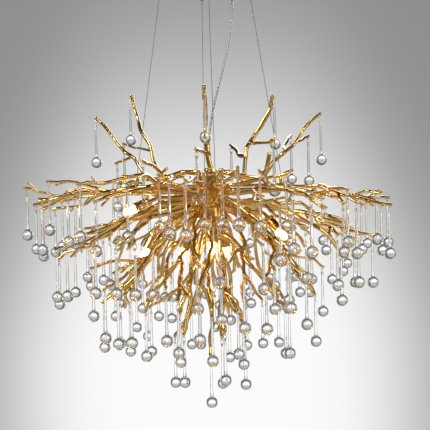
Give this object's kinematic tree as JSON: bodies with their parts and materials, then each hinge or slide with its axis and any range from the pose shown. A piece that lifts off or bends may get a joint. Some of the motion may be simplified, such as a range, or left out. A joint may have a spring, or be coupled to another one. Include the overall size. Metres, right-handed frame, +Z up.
{
  "type": "branch chandelier with hanging glass drops",
  "caption": "Branch chandelier: gold rods fork out from a hub below a round canopy on thin wires, and clear glass ball drops hang from their tips round lit capsule bulbs.",
  "frame": {"origin": "middle of the mounting bracket's top face, on the ceiling plane", "axes": "+Z up, -Y towards the viewer of the picture, +X to their right"},
  "size_m": [0.8397, 0.685, 0.985],
  "materials": {
    "polished_gold": "polished gold plating",
    "clear_glass": "clear, fire polished",
    "lit_bulb": "lit warm white capsule",
    "link_wire": "bright wire",
    "clear_sheath": "clear sheath over stranded conductors",
    "bright_steel": "bright",
    "nickel": "nickel plated",
    "zinc_steel": "zinc plated",
    "white_ceramic": "glazed ceramic",
    "clear_plastic": "translucent",
    "terminal_brass": "plain"
  },
  "bodies": {
    "frame": {"anchor_screws": "bright_steel", "bottom_branches": "polished_gold", "bottom_drops": "clear_glass", "bracket_studs": "bright_steel", "canopy_cover": "polished_gold", "canopy_gland": "clear_plastic", "cap_nuts": "polished_gold", "carrier_arms": "polished_gold", "gland_nuts": "clear_plastic", "gripper_bodies": "nickel", "gripper_nuts": "nickel", "hub_body": "polished_gold", "hub_connector": "white_ceramic", "hub_cover": "polished_gold", "hub_gland": "clear_plastic", "lamp_arms": "polished_gold", "lamp_holders": "white_ceramic", "lamp_sleeves": "polished_gold", "lower_branches": "polished_gold", "lower_drops": "clear_glass", "middle_branches": "polished_gold", "middle_drops": "clear_glass", "mounting_bracket": "zinc_steel", "power_cord": "clear_sheath", "rising_branches": "polished_gold", "rising_drops": "clear_glass", "suspension_wires": "bright_steel", "terminal_block": "clear_plastic", "terminal_screws": "terminal_brass", "upper_branches": "polished_gold", "upper_drops": "clear_glass", "wire_anchors": "polished_gold", "wire_links": "link_wire"},
    "drop_01_body": {"drop_01": "clear_glass"},
    "drop_02_body": {"drop_02": "clear_glass"},
    "drop_03_body": {"drop_03": "clear_glass"},
    "drop_04_body": {"drop_04": "clear_glass"},
    "drop_05_body": {"drop_05": "clear_glass"},
    "drop_06_body": {"drop_06": "clear_glass"},
    "drop_07_body": {"drop_07": "clear_glass"},
    "drop_08_body": {"drop_08": "clear_glass"},
    "drop_09_body": {"drop_09": "clear_glass"},
    "drop_10_body": {"drop_10": "clear_glass"},
    "drop_11_body": {"drop_11": "clear_glass"},
    "drop_12_body": {"drop_12": "clear_glass"},
    "drop_13_body": {"drop_13": "clear_glass"},
    "drop_14_body": {"drop_14": "clear_glass"},
    "bulb_1_body": {"bulb_1": "lit_bulb"},
    "bulb_2_body": {"bulb_2": "lit_bulb"},
    "bulb_3_body": {"bulb_3": "lit_bulb"},
    "bulb_4_body": {"bulb_4": "lit_bulb"},
    "bulb_5_body": {"bulb_5": "lit_bulb"},
    "bulb_6_body": {"bulb_6": "lit_bulb"},
    "bulb_7_body": {"bulb_7": "lit_bulb"},
    "bulb_8_body": {"bulb_8": "lit_bulb"},
    "bulb_9_body": {"bulb_9": "lit_bulb"},
    "gripper_plunger_1_body": {"gripper_plunger_1": "nickel"},
    "gripper_plunger_2_body": {"gripper_plunger_2": "nickel"},
    "gripper_plunger_3_body": {"gripper_plunger_3": "nickel"},
    "gripper_plunger_4_body": {"gripper_plunger_4": "nickel"}
  },
  "joints": [
    {"name": "drop_01_swing", "type": "hinge", "parent": "frame", "child": "drop_01_body", "pos_m": [-0.4039, 0.1, -0.53633], "axis": [-0.4192, -0.9079, 0], "range_deg": [-20, 20]},
    {"name": "drop_02_swing", "type": "hinge", "parent": "frame", "child": "drop_02_body", "pos_m": [-0.35308, -0.08, -0.54316], "axis": [0.0072, -1, 0], "range_deg": [-20, 20]},
    {"name": "drop_03_swing", "type": "hinge", "parent": "frame", "child": "drop_03_body", "pos_m": [-0.34622, 0.06, -0.6635], "axis": [-0.0291, -0.9996, 0], "range_deg": [-20, 20]},
    {"name": "drop_04_swing", "type": "hinge", "parent": "frame", "child": "drop_04_body", "pos_m": [-0.29845, 0.22, -0.62791], "axis": [-0.6305, -0.7762, 0], "range_deg": [-20, 20]},
    {"name": "drop_05_swing", "type": "hinge", "parent": "frame", "child": "drop_05_body", "pos_m": [-0.22263, 0.26, -0.47728], "axis": [-0.5456, -0.8381, 0], "range_deg": [-20, 20]},
    {"name": "drop_06_swing", "type": "hinge", "parent": "frame", "child": "drop_06_body", "pos_m": [-0.17681, 0.3, -0.62782], "axis": [-0.9536, -0.301, 0], "range_deg": [-20, 20]},
    {"name": "drop_07_swing", "type": "hinge", "parent": "frame", "child": "drop_07_body", "pos_m": [-0.06782, 0.34, -0.52424], "axis": [-0.9992, 0.0399, 0], "range_deg": [-20, 20]},
    {"name": "drop_08_swing", "type": "hinge", "parent": "frame", "child": "drop_08_body", "pos_m": [0.05148, -0.32, -0.51222], "axis": [0.9999, -0.0152, 0], "range_deg": [-20, 20]},
    {"name": "drop_09_swing", "type": "hinge", "parent": "frame", "child": "drop_09_body", "pos_m": [0.10107, 0.32, -0.52891], "axis": [-0.9948, -0.1015, 0], "range_deg": [-20, 20]},
    {"name": "drop_10_swing", "type": "hinge", "parent": "frame", "child": "drop_10_body", "pos_m": [0.14955, 0.32, -0.66478], "axis": [-0.7913, 0.6114, 0], "range_deg": [-20, 20]},
    {"name": "drop_11_swing", "type": "hinge", "parent": "frame", "child": "drop_11_body", "pos_m": [0.2738, 0.2, -0.52901], "axis": [-0.3696, 0.9292, 0], "range_deg": [-20, 20]},
    {"name": "drop_12_swing", "type": "hinge", "parent": "frame", "child": "drop_12_body", "pos_m": [0.33126, 0.096, -0.63086], "axis": [-0.2265, 0.974, 0], "range_deg": [-20, 20]},
    {"name": "drop_13_swing", "type": "hinge", "parent": "frame", "child": "drop_13_body", "pos_m": [0.35704, -0.04, -0.53618], "axis": [-0.1088, 0.9941, 0], "range_deg": [-20, 20]},
    {"name": "drop_14_swing", "type": "hinge", "parent": "frame", "child": "drop_14_body", "pos_m": [0.41079, 0.1, -0.54004], "axis": [-0.0297, 0.9996, 0], "range_deg": [-20, 20]},
    {"name": "bulb_1_pull", "type": "slide", "parent": "frame", "child": "bulb_1_body", "axis": [-0.9237, -0.0808, -0.3746], "range_m": [0, 0.012]},
    {"name": "bulb_2_pull", "type": "slide", "parent": "frame", "child": "bulb_2_body", "axis": [0.596, 0.7103, -0.3746], "range_m": [0, 0.012]},
    {"name": "bulb_3_pull", "type": "slide", "parent": "frame", "child": "bulb_3_body", "axis": [-0.1632, 0.9254, -0.342], "range_m": [0, 0.012]},
    {"name": "bulb_4_pull", "type": "slide", "parent": "frame", "child": "bulb_4_body", "axis": [-0.7103, 0.596, -0.3746], "range_m": [0, 0.012]},
    {"name": "bulb_5_pull", "type": "slide", "parent": "frame", "child": "bulb_5_body", "axis": [0.633, -0.1116, -0.766], "range_m": [0, 0.012]},
    {"name": "bulb_6_pull", "type": "slide", "parent": "frame", "child": "bulb_6_body", "axis": [-0.4924, 0.0868, -0.866], "range_m": [0, 0.012]},
    {"name": "bulb_7_pull", "type": "slide", "parent": "frame", "child": "bulb_7_body", "axis": [0.1294, 0.483, -0.866], "range_m": [0, 0.012]},
    {"name": "bulb_8_pull", "type": "slide", "parent": "frame", "child": "bulb_8_body", "axis": [-0.25, 0.433, -0.866], "range_m": [0, 0.012]},
    {"name": "bulb_9_pull", "type": "slide", "parent": "frame", "child": "bulb_9_body", "axis": [0, 0, -1], "range_m": [0, 0.012]},
    {"name": "plunger_1_press", "type": "slide", "parent": "frame", "child": "gripper_plunger_1_body", "axis": [0, 0, 1], "range_m": [0, 0.0025], "stiffness_N_per_m": 500, "springref_m": -0.001},
    {"name": "plunger_2_press", "type": "slide", "parent": "frame", "child": "gripper_plunger_2_body", "axis": [0, 0, 1], "range_m": [0, 0.0025], "stiffness_N_per_m": 500, "springref_m": -0.001},
    {"name": "plunger_3_press", "type": "slide", "parent": "frame", "child": "gripper_plunger_3_body", "axis": [0, 0, 1], "range_m": [0, 0.0025], "stiffness_N_per_m": 500, "springref_m": -0.001},
    {"name": "plunger_4_press", "type": "slide", "parent": "frame", "child": "gripper_plunger_4_body", "axis": [0, 0, 1], "range_m": [0, 0.0025], "stiffness_N_per_m": 500, "springref_m": -0.001}
  ]
}
